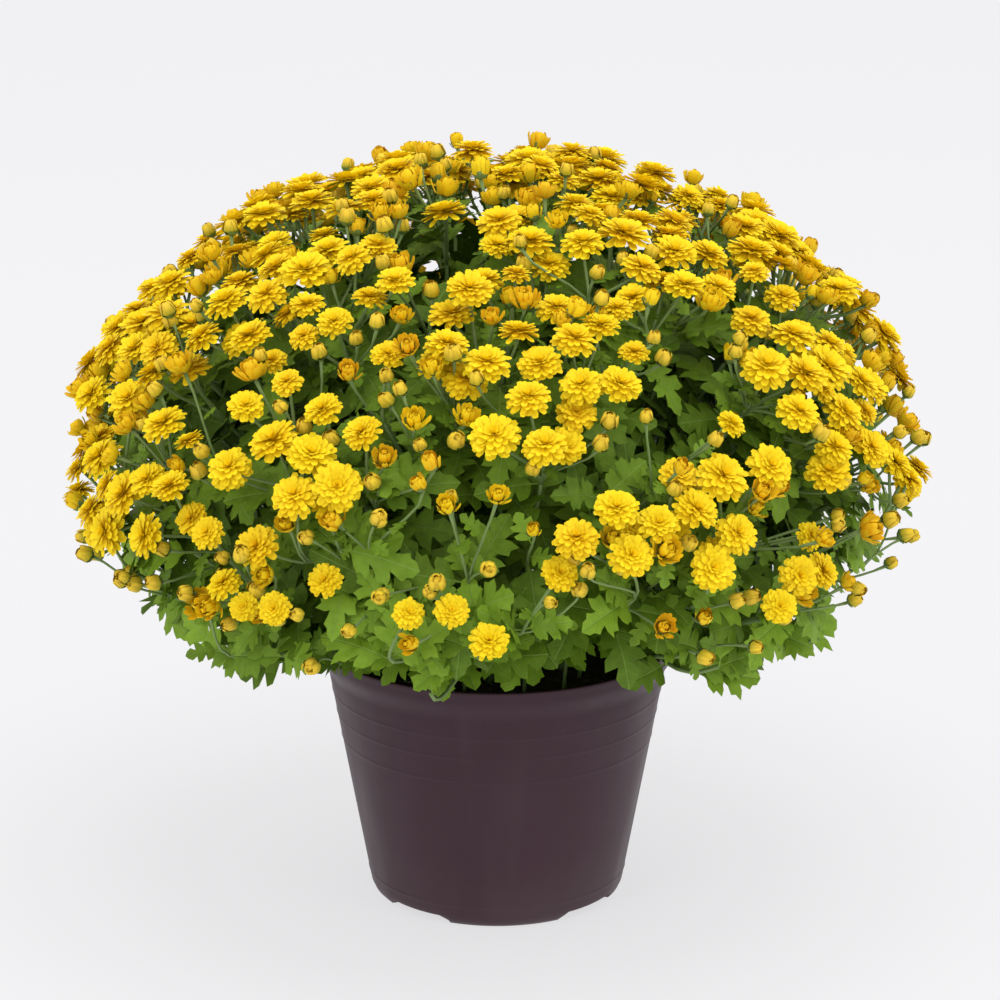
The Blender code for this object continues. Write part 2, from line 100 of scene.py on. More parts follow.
class Finish:
    """A material under construction. Its shader takes what a Wire or a plain value gives."""

    def __init__(self, name):
        self.material = bpy.data.materials.new(name)
        self.material.use_nodes = True
        self.nodes = self.material.node_tree.nodes
        self.links = self.material.node_tree.links
        self.shader = self.nodes["Principled BSDF"]

    def put(self, socket, value):
        """Links a Wire to a socket, or sets a plain value on it."""
        if isinstance(value, Wire):
            self.links.new(value.socket, socket)
        elif socket.type == "RGBA" and len(value) == 3:
            socket.default_value = (*value, 1)
        else:
            socket.default_value = value

    def node(self, kind, settings, sockets, output=0):
        """Adds a node and gives one of its outputs. A colour ramp takes its colours from the stops."""
        made = self.nodes.new(kind)
        for key, value in settings.items():
            if key == "stops":
                while len(made.color_ramp.elements) < len(value):
                    made.color_ramp.elements.new(0.5)
                for element, (position, color) in zip(made.color_ramp.elements, value):
                    element.position = position
                    element.color = (*color, 1)
            else:
                setattr(made, key, value)
        for key, value in sockets.items():
            self.put(made.inputs[key], value)
        return Wire(self, made.outputs[output])

    def surface(self, **values):
        for key, value in values.items():
            self.put(self.shader.inputs[key.replace("_", " ")], value)

    def mix(self, factor, first, second):
        return self.node("ShaderNodeMix", {"data_type": "RGBA"}, {0: factor, 6: first, 7: second}, 2)

    def part(self, vector, index):
        """One of the three numbers of a vector."""
        return self.node("ShaderNodeSeparateXYZ", {}, {0: vector}, index)

    def noise(self, scale, detail, stretch=(1, 1, 1)):
        spot = self.node("ShaderNodeTexCoord", {}, {}, "Object")
        spot = self.node("ShaderNodeMapping", {}, {"Vector": spot, "Scale": stretch})
        return self.node("ShaderNodeTexNoise", {}, {"Vector": spot, "Scale": scale, "Detail": detail})

    def bump(self, height, strength, distance):
        return self.node("ShaderNodeBump", {}, {"Height": height, "Strength": strength, "Distance": distance})

    def band(self, value, low, high):
        """0 below low, 1 above high, and an even slope between."""
        sockets = {"Value": value, "From Min": low, "From Max": high}
        return self.node("ShaderNodeMapRange", {}, sockets)


def smooth_mesh(name, points, loops, sizes, finish, place=None, tint=None):
    """A smooth-shaded object from arrays, with the two attributes that the foliage finishes read."""
    mesh = bpy.data.meshes.new(name)
    mesh.vertices.add(len(points))
    mesh.vertices.foreach_set("co", np.asarray(points, np.float32).ravel())
    mesh.loops.add(len(loops))
    mesh.loops.foreach_set("vertex_index", np.asarray(loops, np.int32))
    mesh.polygons.add(len(sizes))
    mesh.polygons.foreach_set("loop_start", (np.cumsum(sizes) - sizes).astype(np.int32))
    mesh.update(calc_edges=True)
    mesh.validate()
    mesh.shade_smooth()
    if place is not None:
        made = mesh.attributes.new("place", "FLOAT_VECTOR", "POINT")
        made.data.foreach_set("vector", np.asarray(place, np.float32).ravel())
        made = mesh.attributes.new("tint", "FLOAT", "POINT")
        made.data.foreach_set("value", np.asarray(tint, np.float32))
    mesh.materials.append(finish.material)
    obj = bpy.data.objects.new(name, mesh)
    bpy.context.scene.collection.objects.link(obj)
    return obj


def tube_faces(rows, sides):
    """Vertex indices and sizes of the faces of a tube with closed ends, ring after ring."""
    row = np.arange(rows - 1)[:, None] * sides
    side = np.arange(sides)[None, :]
    after = (side + 1) % sides
    quads = np.stack([row + side, row + after, row + after + sides, row + side + sides], -1).reshape(-1)
    last = (rows - 1) * sides
    loops = np.concatenate([quads, np.arange(sides)[::-1], np.arange(last, last + sides)])
    return loops, np.array([4] * last + [sides, sides])


def wall_radius(height):
    """The radius of the pot's outer wall below the band, with its thin raised lines."""
    share = (height - FOOT_TOP) / (BAND_FOOT - FOOT_TOP)
    line = sum(math.exp(-(((height - z) / LINE_WIDTH) ** 2)) for z in WALL_LINES)
    return WALL_FOOT_RADIUS + share * (WALL_TOP_RADIUS - WALL_FOOT_RADIUS) + LINE_RISE * line


def pot_profile():
    """(radius, height, how far the foot gaps lift it) up the outside, over the rim and down the inside."""
    profile = [(0.0005, 0.0078, 0.0), (0.055, 0.0078, 0.0), (BASE_RADIUS - 0.007, 0.0076, 0.0)]
    profile += [(BASE_RADIUS - 0.0045, 0.0060, 0.6), (BASE_RADIUS - 0.0035, 0.0008, 1.0)]
    profile += [(BASE_RADIUS - 0.0015, 0.0, 1.0), (BASE_RADIUS + 0.0018, 0.0006, 1.0)]
    profile += [(BASE_RADIUS + 0.0042, 0.0030, 0.75), (WALL_FOOT_RADIUS - 0.0007, 0.0065, 0.4)]
    near_lines = [line + LINE_WIDTH * step for line in WALL_LINES for step in (-2, -1, -0.5, 0, 0.5, 1, 2)]
    heights = np.sort(np.concatenate([np.linspace(FOOT_TOP, BAND_FOOT, WALL_ROWS), near_lines]))
    profile += [(wall_radius(z), z, 0.0) for z in heights]
    for step in range(1, BAND_ROWS + 1):
        share = step / BAND_ROWS
        swell = 0.5 - 0.5 * math.cos(math.pi * share)
        radius = WALL_TOP_RADIUS + (RIM_RADIUS - 0.0010 - WALL_TOP_RADIUS) * swell
        profile.append((radius, BAND_FOOT + BAND_RISE * share, 0.0))
    profile.append((RIM_RADIUS - 0.0004, 0.1672, 0.0))
    profile += [(RIM_RADIUS, 0.1688, 0.0), (RIM_RADIUS - 0.0003, 0.1697, 0.0)]
    profile += [(RIM_RADIUS - 0.0009, POT_HEIGHT, 0.0), (RIM_RADIUS - 0.0016, 0.1697, 0.0)]
    profile += [(RIM_RADIUS - 0.0019, 0.1688, 0.0), (RIM_RADIUS - 0.0030, 0.1655, 0.0)]
    profile += [(RIM_RADIUS - 0.0060, 0.156, 0.0), (WALL_TOP_RADIUS - WALL, BAND_FOOT, 0.0)]
    profile += [(WALL_FOOT_RADIUS - WALL, FOOT_TOP + 0.002, 0.0), (0.060, FLOOR_TOP, 0.0)]
    profile.append((0.0005, FLOOR_TOP, 0.0))
    return profile


def foot_lift(angle):
    """How far the foot is cut away at an angle round the pot."""
    nearest = min(
        abs((angle - FOOT_GAP_START - math.tau * i / FOOT_GAPS + math.pi) % math.tau - math.pi)
        for i in range(FOOT_GAPS)
    )
    share = (FOOT_GAP_HALF_ANGLE - nearest) / FOOT_GAP_SLOPE + 0.5
    share = max(0.0, min(1.0, share))
    return FOOT_GAP_RISE * share * share * (3 - 2 * share)


pot_plastic = Finish("pot_plastic")
cloud = pot_plastic.noise(9, 4)
fine = pot_plastic.noise(700, 2)
streak = pot_plastic.noise(40, 5, stretch=(1, 1, 0.12))
height = pot_plastic.part(pot_plastic.node("ShaderNodeTexCoord", {}, {}, "Object"), 2)
dust = pot_plastic.band(height, 0.05, 0.0) * pot_plastic.band(cloud, 0.4, 0.7)
dark = pot_plastic.mix(pot_plastic.band(cloud, 0.3, 0.7), (0.034, 0.0110, 0.0195), (0.043, 0.0160, 0.0260))
worn = pot_plastic.mix(pot_plastic.band(streak, 0.52, 0.75) * 0.35, dark, (0.058, 0.034, 0.043))
pot_plastic.surface(
    Base_Color=pot_plastic.mix(dust * 0.35, worn, (0.09, 0.068, 0.066)),
    Roughness=0.40 + pot_plastic.band(streak, 0.35, 0.7) * 0.14,
    Specular_IOR_Level=0.30,
    Normal=pot_plastic.bump(fine * 0.6 + cloud * 0.8, 0.25, 0.0006),
)

angles = np.arange(POT_SIDES) * math.tau / POT_SIDES
lifts = np.array([foot_lift(a) for a in angles])
pot_rings = []
for radius, z, lifted in pot_profile():
    rise = np.maximum(0.0, lifts - z) * lifted
    pot_rings.append(np.stack([radius * np.cos(angles), radius * np.sin(angles), z + rise], -1))
pot = smooth_mesh("pot_shell", np.concatenate(pot_rings), *tube_faces(len(pot_rings), POT_SIDES), pot_plastic)
for i in range(FOOT_GAPS):
    turn = FOOT_GAP_START + math.tau * i / FOOT_GAPS
    bpy.ops.mesh.primitive_cylinder_add(radius=DRAIN_RADIUS, depth=0.012, vertices=40)
    drain = bpy.context.object
    drain.location = (DRAIN_SPOT * math.cos(turn), DRAIN_SPOT * math.sin(turn), 0.0087)
    cut = pot.modifiers.new("drain", "BOOLEAN")
    cut.object = drain
    cut.operation = "DIFFERENCE"
    cut.solver = "MANIFOLD"
    bpy.context.view_layer.objects.active = pot
    bpy.ops.object.modifier_apply(modifier=cut.name)
    bpy.data.objects.remove(drain)
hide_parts("pot")
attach(pot, "root")


# The soil
# The root ball of dark, damp peat that fills the pot, held together by the roots. Watering has left its top
# uneven, with lumps and loose crumbs up to the wall, where it lies a little lower.

SOIL_TOP = 0.156
SOIL_RADIUS = 0.1055
SOIL_EDGE = 0.1035
EDGE_DROP = 0.002
SOIL_SIDE = ((0.1016, 0.133), (0.0792, 0.016), (0.070, 0.0102), (0.0004, 0.0102))
SOIL_RINGS = 38
SOIL_SIDES = 96
CRUMBS = 1100
CRUMB_REACH = 0.104
CRUMB_SIZES = ((0.0006, 0.0030), (0.0006, 0.0022), (0.0005, 0.0015))
CRUMB = np.array([(1, 0, 0), (-1, 0, 0), (0, 1, 0), (0, -1, 0), (0, 0, 1), (0, 0, -1)], float)
CRUMB_FACES = ((0, 2, 4), (2, 1, 4), (1, 3, 4), (3, 0, 4), (2, 0, 5), (1, 2, 5), (3, 1, 5), (0, 3, 5))
PEAT_COLORS = [(0.32, (0.008, 0.005, 0.004)), (0.55, (0.028, 0.017, 0.011)), (0.72, (0.085, 0.050, 0.028))]


def soil_height(x, y):
    """The height of the peat: low waves with smaller lumps on them."""
    waves = np.sin(93 * x + 1.3) * np.cos(71 * y - 0.4) + 0.6 * np.sin(141 * y + 57 * x)
    lumps = np.sin(310 * x + 40 * np.sin(90 * y)) * np.sin(290 * y + 30 * np.sin(110 * x))
    return SOIL_TOP + 0.0022 * waves + 0.0009 * lumps


def root_ball():
    """The body of the peat, from the middle of its top out to the wall and down to its foot."""
    angles = np.arange(SOIL_SIDES) * math.tau / SOIL_SIDES
    layers = []
    for radius in np.linspace(0.0004, SOIL_RADIUS, SOIL_RINGS):
        x, y = radius * np.cos(angles), radius * np.sin(angles)
        drop = EDGE_DROP if radius > SOIL_EDGE else 0.0
        layers.append(np.stack([x, y, soil_height(x, y) - drop], -1))
    for radius, z in SOIL_SIDE:
        layers.append(np.stack([radius * np.cos(angles), radius * np.sin(angles), 0 * angles + z], -1))
    loops, sizes = tube_faces(len(layers), SOIL_SIDES)
    return np.concatenate(layers), loops[::-1], sizes[::-1]


def crumb(draw):
    """The points of one crumb that lies on the peat."""
    radius = CRUMB_REACH * math.sqrt(draw.random())
    turn = draw.uniform(0, math.tau)
    x, y = radius * math.cos(turn), radius * math.sin(turn)
    size = np.array([draw.uniform(*ends) for ends in CRUMB_SIZES])
    spin = np.array(Matrix.Rotation(draw.uniform(0, math.tau), 3, "Z"))
    return (CRUMB * size) @ spin.T + np.array([x, y, float(soil_height(x, y)) + 0.0005])


peat = Finish("peat")
grain = peat.noise(260, 8)
lump = peat.noise(60, 4)
peat.surface(
    Base_Color=peat.node("ShaderNodeValToRGB", {"stops": PEAT_COLORS}, {"Fac": grain * 0.7 + lump * 0.3}),
    Roughness=0.78 + grain * 0.2,
    Normal=peat.bump(grain, 0.9, 0.0016),
)
points, loops, sizes = root_ball()
soil_points, soil_loops, soil_sizes = [points], [loops], [sizes]
draw = random.Random(5)
for k in range(CRUMBS):
    soil_points.append(crumb(draw))
    soil_loops.append(np.array(CRUMB_FACES).ravel() + len(points) + k * len(CRUMB))
    soil_sizes.append(np.array([3] * len(CRUMB_FACES)))
soil_parts = (np.concatenate(part) for part in (soil_points, soil_loops, soil_sizes))
soil = smooth_mesh("peat_root_ball", *soil_parts, peat)
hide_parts("soil")
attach(soil, "root")


# The blooms
# Small double chrysanthemums, golden yellow: layers of narrow round-ended petals, flat at the edge and
# still closed in the middle. Some are half open cups of deeper yellow, and many are round buds. Each sits
# in a green cup at the end of its own stalk.

CROWN = Vector((0.0, 0.0, 0.150))
CANOPY_RADIUS = 0.268
CANOPY_HEIGHT = 0.187
CANOPY_MIDDLE = 0.290
STEM_COUNT = 26
LOWEST_STEM = math.radians(74)
GOLDEN_ANGLE = math.pi * (3 - math.sqrt(5))
CROWN_SPREAD = 0.055
UPPER_BRANCHING, LOWER_BRANCHING = 0.84, 0.60
SECTOR_GAP = 0.0004
BLOOM_RADIUS = 0.0182
LOW_BLOOM_RADIUS = 0.0150
LOW_HEIGHT = 0.268
LOW_FALL = 0.014
BLOOM_REACH = 0.90
BLOOM_PAST_WHORL = 0.018
BLOOM_STAR = 5
BLOOM_NOTCH = 0.70
BLOOM_TOP, BLOOM_BOTTOM = 0.38, 0.42
SMALLEST, LARGEST = 0.86, 1.06
TURN = 0.15
DRAW_IN, LEVEL = 0.96, 0.35
DRAWS = 8
JOINED_SCALE = 0.93
TOUCH = 0.76
BLOOM_SEED = 40
TILT_ABOVE, TILT_BELOW = 0.12, 0.35
CROWDED, SPARSE = math.radians(48), math.radians(61)
BLOOM_UNEVEN = 0.003
NOTCH_LIFT = 0.08
KINDS = ("open", "opening", "bud")
HEAD_RADII = {"open": (0.0095, 0.0148), "opening": (0.0064, 0.0094), "bud": (0.0046, 0.0063)}
HEAD_LEVELS = {"open": (-0.020, -0.002), "opening": (-0.018, 0.000), "bud": (-0.018, 0.004)}
LOWEST_HEAD = {"open": 0.262, "opening": 0.250, "bud": 0.225}
HEAD_FOOT = {"open": 0.12, "opening": 0.28, "bud": 0.84}
HEAD_SPREAD = 0.085
HEAD_APART = 0.68
HEAD_TRIES = 120
HEAD_SINK = 0.007
HEAD_SIZES = 0.68, 0.92
UP = Vector((0, 0, 1))


def canopy_reach(direction):
    """How far the canopy lies from the crown of the plant, in a direction."""
    polar = math.acos(max(-1.0, min(1.0, direction.normalized().z)))
    rise = CANOPY_MIDDLE - CROWN.z
    a = (math.sin(polar) / CANOPY_RADIUS) ** 2 + (math.cos(polar) / CANOPY_HEIGHT) ** 2
    b = -2 * rise * math.cos(polar) / CANOPY_HEIGHT**2
    c = (rise / CANOPY_HEIGHT) ** 2 - 1
    return (math.sqrt(b * b - 4 * a * c) - b) / (2 * a)


def canopy_normal(point):
    """The way the canopy faces at a point."""
    x, y, z = point.x, point.y, point.z - CANOPY_MIDDLE
    return Vector((x / CANOPY_RADIUS**2, y / CANOPY_RADIUS**2, z / CANOPY_HEIGHT**2)).normalized()


class Sector:
    """The share of the bush that one leafy stem fills: the directions from the crown nearest to its own."""

    def __init__(self, index, directions):
        self.index = index
        self.axis = directions[index]
        self.walls = [(self.axis - d).normalized() for k, d in enumerate(directions) if k != index]
        self.polar = math.acos(self.axis.z)
        self.reach = canopy_reach(self.axis)
        side = Vector((0, 0, 1)) if self.polar > 0.1 else Vector((1, 0, 0))
        self.across = self.axis.cross(side).normalized()
        self.along = self.axis.cross(self.across).normalized()
        outward = Vector((self.axis.x, self.axis.y, 0)).normalized()
        self.foot = outward * CROWN_SPREAD * self.polar / LOWEST_STEM

    def room(self, point):
        """How far inside the sector's walls a point lies."""
        return min((point - CROWN).dot(wall) for wall in self.walls)

    def at(self, share, sideways=Vector((0, 0, 0))):
        """A point at a share of the way from the crown to the canopy."""
        return CROWN + self.axis * self.reach * share + sideways

    def sideways(self, distance, angle):
        """A step away from the sector's axis."""
        return distance * (math.cos(angle) * self.across + math.sin(angle) * self.along)


def sector_directions():
    """Directions spread evenly over the bush by the golden angle."""
    span = 1 - math.cos(LOWEST_STEM)
    directions = []
    for i in range(STEM_COUNT):
        height = 1 - span * (i + 0.5) / STEM_COUNT
        width = math.sqrt(1 - height * height)
        angle = i * GOLDEN_ANGLE + 0.6
        directions.append(Vector((width * math.cos(angle), width * math.sin(angle), height)))
    return directions


def bloom_count(polar):
    """How many large blooms a stem carries, from how far it leans."""
    if polar < CROWDED:
        return 10
    return 8 if polar < SPARSE else 3


def small_counts(polar):
    """How many small blooms, cups and buds a stem carries, from how far it leans."""
    if polar < CROWDED:
        return 11, 10, 9
    return (6, 8, 11) if polar < SPARSE else (1, 4, 9)


def bloom_places(sector):
    """(middle, axis, radius, turn) of each large bloom, each of them set round an earlier one."""
    random_draw = random.Random(BLOOM_SEED + sector.index)
    tilt = TILT_ABOVE if sector.polar < SPARSE else TILT_BELOW
    size = BLOOM_RADIUS if sector.polar < SPARSE else LOW_BLOOM_RADIUS
    places = [first_place(sector, size, tilt)]
    for near in places:
        for k in range(BLOOM_STAR):
            if len(places) == bloom_count(sector.polar):
                return places
            radius = size * random_draw.uniform(SMALLEST, LARGEST)
            side = (near[3] - near[3].dot(near[1]) * near[1]).normalized()
            turn = math.tau * k / BLOOM_STAR + random_draw.uniform(-TURN, TURN)
            side.rotate(Matrix.Rotation(turn, 3, near[1]))
            direction = (near[0] + side * BLOOM_REACH * (near[2] + radius) - CROWN).normalized()
            uneven = random_draw.uniform(-BLOOM_UNEVEN, BLOOM_UNEVEN)
            middle = CROWN + direction * (canopy_reach(direction) + uneven)
            place = joined_place((middle, facing(middle, tilt), radius, side), near)
            if place and fits(sector, place, places):
                places.append(place)
    return places


def first_place(sector, size, tilt):
    """The place of a stem's first bloom: on the stem's axis, or above it on a stem that leans far out."""
    raise_by = max(0.0, LOW_HEIGHT - sector.at(1.0).z)
    raised = (sector.axis * sector.reach - sector.along * raise_by).normalized()
    spot = CROWN + raised * canopy_reach(raised)
    return spot, facing(spot, tilt), size, sector.across


def facing(middle, tilt):
    """The way a bloom faces: out of the canopy, tilted up to the light."""
    return (canopy_normal(middle) + UP * tilt).normalized()


def fits(sector, place, places):
    """Whether a bloom has room in its sector and among the blooms that are there."""
    middle, _, radius, _ = place
    if (middle - CROWN).dot(sector.axis) < UPPER_BRANCHING * sector.reach + BLOOM_PAST_WHORL:
        return False
    if places and sector.polar > SPARSE and middle.z < places[0][0].z - LOW_FALL:
        return False
    if any((other[0] - middle).length < TOUCH * (other[2] + radius) for other in places):
        return False
    points, _ = bloom_star(place)
    return min(sector.room(p) for p in points) > SECTOR_GAP


def joined_place(place, near):
    """The place of a bloom, drawn in and levelled until it reaches its neighbour."""
    middle, axis, radius, _ = place
    for _ in range(DRAWS):
        offset = middle - near[0]
        drawn = (middle, axis, radius, -offset)
        if star_tree(drawn).overlap(star_tree(near)):
            return drawn
        middle = near[0] + offset * DRAW_IN - near[1] * offset.dot(near[1]) * LEVEL
    return None


def star_tree(place):
    points, faces = bloom_star(place, JOINED_SCALE)
    return BVHTree.FromPolygons(points, faces)


def bloom_star(place, scale=1.0):
    """The plain star that stands for a bloom while the blooms are set out."""
    middle, axis, radius, turn_to = place
    radius *= scale
    first = (turn_to - turn_to.dot(axis) * axis).normalized()
    second = axis.cross(first)
    points = []
    for i in range(2 * BLOOM_STAR):
        angle = math.pi * i / BLOOM_STAR
        reach = radius * (1.0 if i % 2 == 0 else BLOOM_NOTCH)
        lift = radius * (0.0 if i % 2 == 0 else NOTCH_LIFT)
        points.append(middle + reach * (math.cos(angle) * first + math.sin(angle) * second) + lift * axis)
    points.append(middle + BLOOM_TOP * radius * axis)
    points.append(middle - BLOOM_BOTTOM * radius * axis)
    count = 2 * BLOOM_STAR
    faces = [(i, (i + 1) % count, count) for i in range(count)]
    faces += [((i + 1) % count, i, count + 1) for i in range(count)]
    return points, faces


class Gathered:
    """Copies of small shapes, gathered to become one piece."""

    def __init__(self):
        self.points, self.loops, self.sizes, self.place, self.tint = [], [], [], [], []
        self.count = 0

    def add(self, form, turned, spot, tint):
        points, loops, sizes, place = form
        self.points.append(points @ turned.T + spot)
        self.loops.append(loops + self.count)
        self.sizes.append(sizes)
        self.place.append(place)
        self.tint.append(np.full(len(points), tint))
        self.count += len(points)

    def piece(self, name, finish):
        parts = (self.points, self.loops, self.sizes)
        attributes = np.concatenate(self.place), np.concatenate(self.tint)
        return smooth_mesh(name, *(np.concatenate(part) for part in parts), finish, *attributes)


PETAL_ROWS = np.array([0.0, 0.42, 0.84, 1.0])
PETAL_WIDTHS = np.array([0.36, 0.84, 1.0, 0.60])
PETAL_POINT = 0.02


def petal(length, width, base, rise, fall, lift, turn, channel, chance):
    """One petal: a strip that leaves the middle at one slope and ends at another, hollow along its middle."""
    slopes = rise + (fall - rise) * PETAL_ROWS
    steps = np.diff(PETAL_ROWS, prepend=0.0) * length
    outward = base + np.cumsum(np.cos(slopes) * steps)
    upward = lift + np.cumsum(np.sin(slopes) * steps)
    points, place = [], []
    for row in range(len(PETAL_ROWS)):
        half = 0.5 * width * PETAL_WIDTHS[row]
        dip = channel * half
        point = PETAL_POINT * length if row == len(PETAL_ROWS) - 1 else 0.0
        back = np.array([-math.sin(slopes[row]), math.cos(slopes[row])])
        for column in (-1, 0, 1):
            sunk = dip if column == 0 else 0.0
            x = outward[row] + (point if column == 0 else 0.0) - sunk * back[0]
            points.append((x, column * half, upward[row] - sunk * back[1]))
            place.append((PETAL_ROWS[row], column, chance))
    points = np.array(points) @ np.array(Matrix.Rotation(turn, 3, "Z")).T
    faces = []
    for row in range(len(PETAL_ROWS) - 1):
        for column in range(2):
            i = row * 3 + column
            faces.append((i, i + 1, i + 4, i + 3))
    return points, np.array(faces), np.array(place)


def petal_ring(form, count, length, width, base, rise, fall, lift, draw, ragged=0.10):
    """Adds a ring of petals to a form, each a little unlike the next."""
    start = draw.uniform(0, math.tau)
    for i in range(count):
        turn = start + math.tau * i / count + draw.gauss(0, 0.07)
        long = length * draw.uniform(1 - ragged, 1 + 0.5 * ragged)
        sloped = draw.gauss(0, 0.07)
        wide = width * draw.uniform(0.88, 1.1)
        slopes = rise + sloped, fall + 1.4 * sloped
        channel = draw.uniform(0.10, 0.45)
        points, faces, place = petal(long, wide, base, *slopes, lift, turn, channel, draw.random())
        faces = faces + sum(len(part) for part in form[0])
        form[0].append(points)
        form[1].append(faces)
        form[2].append(place)


def finished(form):
    """The arrays of a form whose petals have all been added."""
    points, faces, place = (np.concatenate(part) for part in form)
    return points, faces.ravel(), np.full(len(faces), 4), place


def open_bloom(seed):
    """A full bloom of radius 1: flat outer petals, then rings that stand ever steeper to a closed middle."""
    draw = random.Random(seed)
    form = ([], [], [])
    flat = draw.uniform(-0.22, 0.10)
    # For each ring: how many petals, their length, width, base, slope at the root and at the tip, and lift
    petal_ring(form, 19, 0.94, 0.31, 0.06, 0.10, flat - 0.34, 0.00, draw)
    petal_ring(form, 18, 0.89, 0.30, 0.06, 0.30, flat - 0.06, 0.03, draw)
    petal_ring(form, 15, 0.77, 0.29, 0.05, 0.56, flat + 0.18, 0.05, draw)
    petal_ring(form, 12, 0.62, 0.26, 0.04, 0.84, 0.40, 0.06, draw)
    petal_ring(form, 9, 0.48, 0.23, 0.02, 1.08, 0.66, 0.06, draw)
    petal_ring(form, 6, 0.37, 0.18, 0.00, 1.30, 1.05, 0.06, draw)
    return finished(form)


def opening_bloom(seed):
    """A half open bloom of radius 1: a deep cup of upright petals that has begun to spread."""
    draw = random.Random(seed)
    form = ([], [], [])
    spread = draw.uniform(-0.15, 0.30)
    petal_ring(form, 13, 1.55, 0.52, 0.10, 0.15 - spread, 1.75 - 1.6 * spread, -0.25, draw)
    petal_ring(form, 12, 1.50, 0.48, 0.08, 0.40 - spread, 1.95, -0.18, draw)
    petal_ring(form, 9, 1.30, 0.42, 0.05, 0.80, 2.10, -0.10, draw)
    petal_ring(form, 6, 1.10, 0.36, 0.02, 1.15, 2.10, -0.05, draw)
    return finished(form)


def bud(seed):
    """A closed bud of radius 1: petals laid over one another up to a tight tip."""
    draw = random.Random(seed)
    form = ([], [], [])
    petal_ring(form, 9, 2.20, 0.80, 0.10, -0.45, 2.26, -0.72, draw, 0.03)
    petal_ring(form, 7, 2.05, 0.78, 0.08, -0.40, 2.60, -0.66, draw, 0.03)
    petal_ring(form, 5, 1.90, 0.70, 0.04, -0.30, 2.50, -0.55, draw, 0.03)
    return finished(form)


def turned_to(axis, spin, scale):
    """Columns that set a form upright along an axis, spun round it and scaled."""
    axis = axis.normalized()
    side = axis.orthogonal().normalized()
    side.rotate(Matrix.Rotation(spin, 3, axis))
    other = axis.cross(side)
    return np.array([side, other, axis]).T * scale


petals = Finish("petals")
spot = petals.node("ShaderNodeAttribute", {"attribute_name": "place"}, {}, "Vector")
along = petals.part(spot, 0)
across = petals.part(spot, 1)
chance = petals.part(spot, 2)
tint = petals.node("ShaderNodeAttribute", {"attribute_name": "tint"}, {}, "Fac")
mottle = petals.noise(420, 3)
rib = petals.node("ShaderNodeMath", {"operation": "SINE"}, {0: across * 14.0})
lit = petals.mix(petals.band(along, 0.0, 0.6), (0.90, 0.64, 0.003), (0.93, 0.71, 0.006))
deep = petals.mix(petals.band(along, 0.2, 1.0), (0.80, 0.40, 0.004), (0.87, 0.52, 0.012))
pale = petals.mix(petals.band(along, 0.30, 0.75), (0.26, 0.33, 0.030), (0.80, 0.53, 0.045))
# Painted shade: on the buds, each petal darkens towards its side edges, where it overlaps the next, as
# painted shade between the petals.
shaded_seam = petals.node("ShaderNodeMath", {"operation": "ABSOLUTE"}, {0: across})
pale = petals.mix(petals.band(shaded_seam, 0.45, 1.0) * 0.6, pale, (0.38, 0.28, 0.022))
aged = petals.mix(tint, lit, deep)
aged = petals.mix(petals.band(tint, 1.4, 1.6), aged, pale)
petals.surface(
    Base_Color=petals.mix(chance * 0.25 + mottle * 0.20, aged, (0.95, 0.73, 0.020)),
    Roughness=0.58 + mottle * 0.16,
    Normal=petals.bump(rib * 0.5 + mottle * 0.4, 0.22, 0.0004),
    Specular_IOR_Level=0.20,
)

OPEN_BLOOMS = [open_bloom(seed) for seed in range(7)]
OPENING_BLOOMS = [opening_bloom(20 + seed) for seed in range(5)]
BUDS = [bud(40 + seed) for seed in range(3)]
FORMS = {"open": OPEN_BLOOMS, "opening": OPENING_BLOOMS, "bud": BUDS}


def small_place(sector, kind, taken, draw):
    """(middle, axis, radius, kind) of one small bloom, cup or bud in a spot that is free, or None."""
    for _ in range(HEAD_TRIES):
        radius = draw.uniform(*HEAD_RADII[kind])
        offset = sector.sideways(HEAD_SPREAD * math.sqrt(draw.random()), draw.uniform(0, math.tau))
        direction = (sector.axis * sector.reach + offset).normalized()
        spot = CROWN + direction * (canopy_reach(direction) + draw.uniform(*HEAD_LEVELS[kind]))
        if sector.room(spot) < 0.2 * radius or spot.z < LOWEST_HEAD[kind]:
            continue
        if any((spot - other[0]).length < HEAD_APART * (radius + other[2]) for other in taken):
            continue
        lean = Vector((draw.gauss(0, 0.24), draw.gauss(0, 0.24), draw.uniform(0.3, 1.0)))
        return spot, (canopy_normal(spot) + lean).normalized(), radius, kind
    return None


def small_places(sector, large, draw):
    """The places of the small blooms, cups and buds that fill in round the large ones."""
    found = []
    for kind, count in zip(KINDS, small_counts(sector.polar)):
        for _ in range(count):
            place = small_place(sector, kind, large + found, draw)
            if place:
                found.append(place)
    return found


